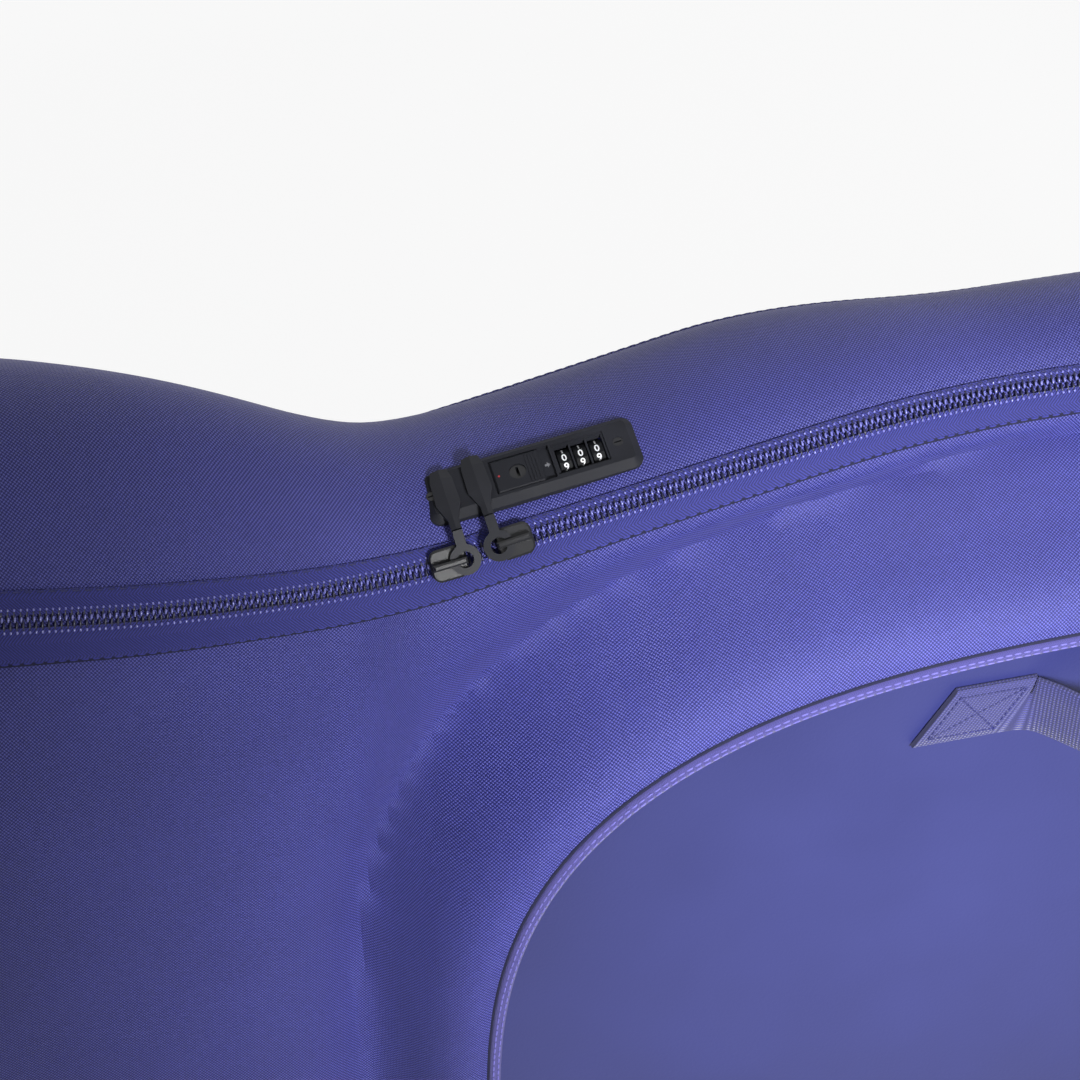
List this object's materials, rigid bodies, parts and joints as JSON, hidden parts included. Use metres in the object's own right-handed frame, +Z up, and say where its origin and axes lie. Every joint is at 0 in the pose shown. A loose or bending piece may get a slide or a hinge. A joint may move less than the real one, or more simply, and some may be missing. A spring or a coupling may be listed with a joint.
{
  "type": "bike travel case",
  "caption": "Soft bike travel case with a fold-down zipped door, combination lock, raised wheel panels, webbing handles, rear wheels and inner frame stand.",
  "frame": {"origin": "bottom centre of the overall box, on the floor", "axes": "+X along the case towards the rear wheels, -Y towards the door, +Z up"},
  "size_m": [1.4258, 0.4732, 0.9238],
  "materials": {
    "woven_shell": "plain weave polyester, matt",
    "panel_tarpaulin": "coated tarpaulin, satin",
    "zip_tape": "herringbone woven tape, matt",
    "zip_coil": "moulded nylon coil",
    "seam_binding": "folded binding, matt",
    "slider_metal": "black lacquered die casting",
    "puller_plastic": "black satin moulding",
    "lock_plastic": "black moulding, fine spark texture",
    "lock_steel": "plated steel",
    "dial_plastic": "black moulding",
    "webbing": "ribbed polyester webbing",
    "base_plastic": "black grained moulding",
    "skid_plastic": "wear-resistant moulding",
    "foot_rubber": "matt rubber",
    "tyre_rubber": "cast polyurethane",
    "hub_plastic": "grey moulding",
    "steel": "plain steel",
    "rail_aluminium": "anodised extrusion",
    "foam": "closed-cell foam",
    "guard_plastic": "moulded sheet"
  },
  "bodies": {
    "case": {"far_shell": "woven_shell", "top_gusset": "woven_shell", "front_gusset": "woven_shell", "rear_gusset": "woven_shell", "far_round_panel": "panel_tarpaulin", "far_hub_guard": "guard_plastic", "gusset_zip_tape": "zip_tape", "gusset_zip_coil": "zip_coil", "far_seam_piping": "seam_binding", "zip_end_stops": "slider_metal", "lock_housing": "lock_plastic", "dial_shaft": "lock_steel", "lock_back_plate": "lock_plastic", "lock_screws": "lock_steel", "base_tray": "base_plastic", "skid_rails": "skid_plastic", "base_screws": "steel", "front_feet": "foot_rubber", "near_wheel_bracket": "base_plastic", "far_wheel_bracket": "base_plastic", "near_wheel_axle": "steel", "far_wheel_axle": "steel", "hinge_strip": "seam_binding", "far_handle": "webbing", "front_handle": "webbing", "rear_handle": "webbing", "frame_rail": "rail_aluminium", "fork_stand": "rail_aluminium", "frame_cradle": "foam", "frame_straps": "webbing", "strap_buckles": "guard_plastic"},
    "door": {"door_shell": "woven_shell", "door_round_panel": "panel_tarpaulin", "door_hub_guard": "guard_plastic", "door_zip_tape": "zip_tape", "door_zip_coil": "zip_coil", "door_hinge_flap": "seam_binding", "door_handle": "webbing"},
    "left_zip_slider": {"left_slider": "slider_metal"},
    "right_zip_slider": {"right_slider": "slider_metal"},
    "left_zip_puller": {"left_puller": "puller_plastic"},
    "right_zip_puller": {"right_puller": "puller_plastic"},
    "lock_slide": {"lock_slide_plate": "lock_plastic", "lock_latch_bar": "lock_steel"},
    "lock_key_plug": {"key_plug": "lock_steel"},
    "dial_left": {"dial_1": "dial_plastic"},
    "dial_middle": {"dial_2": "dial_plastic"},
    "dial_right": {"dial_3": "dial_plastic"},
    "near_wheel": {"near_tyre": "tyre_rubber", "near_hub": "hub_plastic", "near_bearings": "steel"},
    "far_wheel": {"far_tyre": "tyre_rubber", "far_hub": "hub_plastic", "far_bearings": "steel"}
  },
  "joints": [
    {"name": "door_hinge", "type": "hinge", "parent": "case", "child": "door", "pos_m": [0, -0.1208, 0.08], "axis": [1, 0, 0], "range_deg": [0, 85], "deforming": ["door_zip_tape", "door_zip_coil"]},
    {"name": "left_slider_travel", "type": "slide", "parent": "case", "child": "left_zip_slider", "axis": [-0.992, -0.006, -0.1261], "range_m": [0, 0.006]},
    {"name": "right_slider_travel", "type": "slide", "parent": "case", "child": "right_zip_slider", "axis": [0.9772, 0, 0.2125], "range_m": [0, 0.08]},
    {"name": "left_puller_swing", "type": "hinge", "parent": "left_zip_slider", "child": "left_zip_puller", "pos_m": [-0.03072, -0.05567, 0.77682], "axis": [-0.102, -0.8103, 0.577], "range_deg": [0, 4]},
    {"name": "right_puller_swing", "type": "hinge", "parent": "right_zip_slider", "child": "right_zip_puller", "pos_m": [-0.01596, -0.05511, 0.78072], "axis": [-0.1454, -0.7293, 0.6686], "range_deg": [-17, 0]},
    {"name": "lock_slide_travel", "type": "slide", "parent": "case", "child": "lock_slide", "axis": [0.9855, 0, 0.17], "range_m": [0, 0.0045], "stiffness_N_per_m": 300},
    {"name": "key_turn", "type": "hinge", "parent": "lock_slide", "child": "lock_key_plug", "pos_m": [-0.00062, -0.027, 0.79324], "axis": [-0.1611, -0.319, 0.934], "range_deg": [0, 90]},
    {"name": "left_dial_turn", "type": "hinge", "parent": "case", "child": "dial_left", "pos_m": [0.02017, -0.02623, 0.79452], "axis": [0.9855, 0, 0.17], "continuous": true},
    {"name": "middle_dial_turn", "type": "hinge", "parent": "case", "child": "dial_middle", "pos_m": [0.02736, -0.02623, 0.79576], "axis": [0.9855, 0, 0.17], "continuous": true},
    {"name": "right_dial_turn", "type": "hinge", "parent": "case", "child": "dial_right", "pos_m": [0.03456, -0.02623, 0.797], "axis": [0.9855, 0, 0.17], "continuous": true},
    {"name": "near_wheel_spin", "type": "hinge", "parent": "case", "child": "near_wheel", "pos_m": [0.56, -0.092, 0.036], "axis": [0, 1, 0], "continuous": true},
    {"name": "far_wheel_spin", "type": "hinge", "parent": "case", "child": "far_wheel", "pos_m": [0.56, 0.092, 0.036], "axis": [0, 1, 0], "continuous": true}
  ]
}
